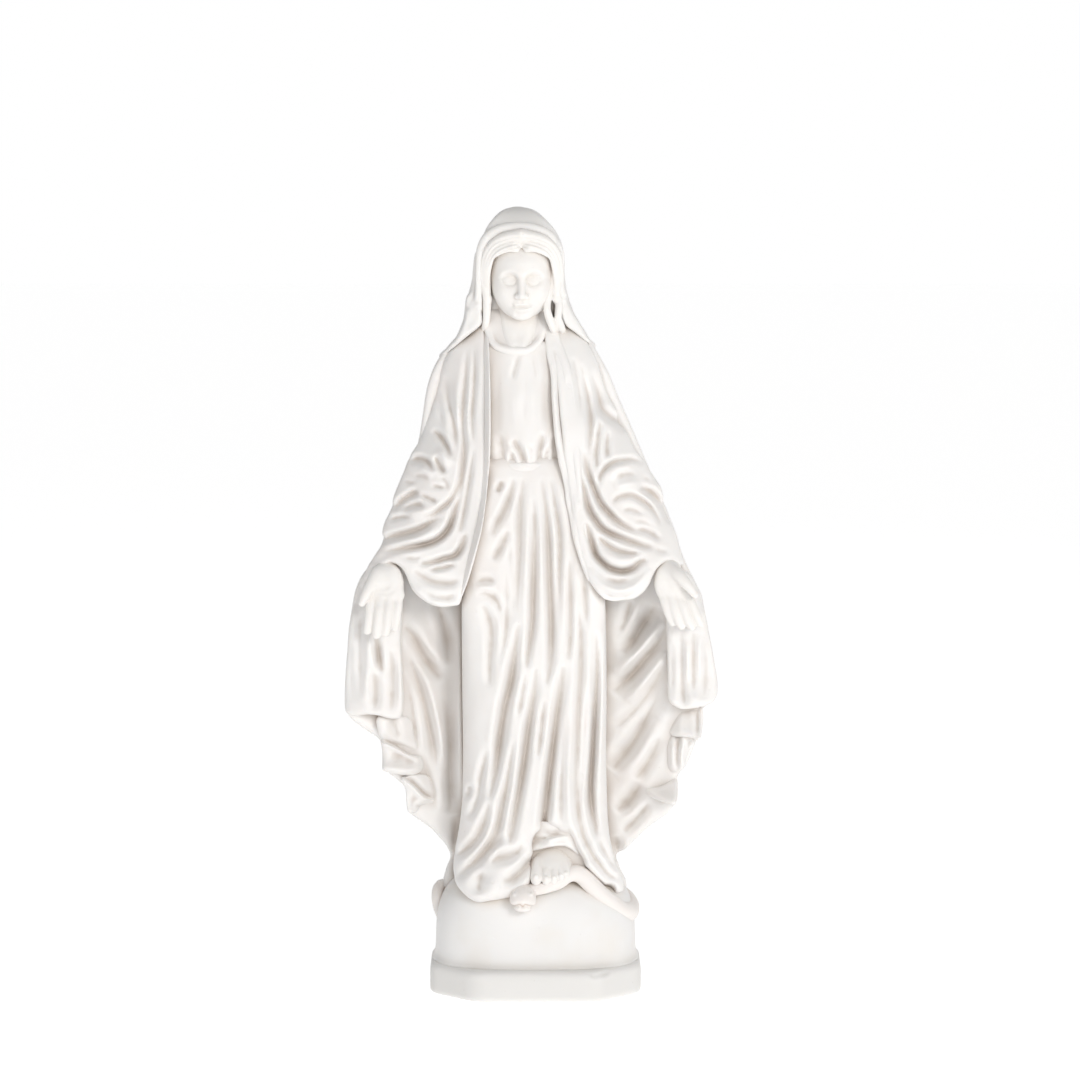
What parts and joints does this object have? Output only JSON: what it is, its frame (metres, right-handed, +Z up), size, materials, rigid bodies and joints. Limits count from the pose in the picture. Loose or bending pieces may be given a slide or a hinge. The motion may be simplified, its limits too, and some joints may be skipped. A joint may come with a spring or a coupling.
{
  "type": "devotional statue",
  "caption": "Standing robed and veiled figure with lowered open hands, on a globe with a serpent and an octagonal plinth; a free-standing ornament.",
  "frame": {"origin": "centre of the plinth's underside", "axes": "+Z up along the figure, the figure faces -Y, +X to the right of someone looking at its front"},
  "size_m": [0.144, 0.068, 0.3],
  "materials": {
    "cast_plaster": "unpainted cast plaster, eggshell sheen",
    "veil_plaster": "unpainted cast plaster, slightly greyed",
    "base_plaster": "unpainted cast plaster, lightly soiled",
    "serpent_plaster": "unpainted cast plaster",
    "skin_plaster": "unpainted cast plaster, smoothed by handling"
  },
  "bodies": {
    "root": {"plinth": "base_plaster", "globe": "base_plaster", "serpent_head": "serpent_plaster", "serpent_body": "serpent_plaster", "serpent_tail": "serpent_plaster", "foot": "skin_plaster", "hand_left": "skin_plaster", "hand_right": "skin_plaster", "head": "skin_plaster", "neck": "skin_plaster", "veil": "veil_plaster", "hair": "cast_plaster", "collar": "cast_plaster", "mantle_front_left": "cast_plaster", "mantle_front_right": "cast_plaster", "sleeve_left": "cast_plaster", "sleeve_right": "cast_plaster", "mantle_back": "cast_plaster", "mantle_wing_left": "cast_plaster", "mantle_wing_right": "cast_plaster", "cascade_left_upper": "cast_plaster", "cascade_left_middle": "cast_plaster", "cascade_left_lower": "cast_plaster", "cascade_right_upper": "cast_plaster", "cascade_right_middle": "cast_plaster", "cascade_right_lower": "cast_plaster", "cascade_right_lowest": "cast_plaster", "belt": "cast_plaster", "underskirt": "cast_plaster", "bodice": "cast_plaster", "skirt": "cast_plaster"}
  },
  "joints": []
}
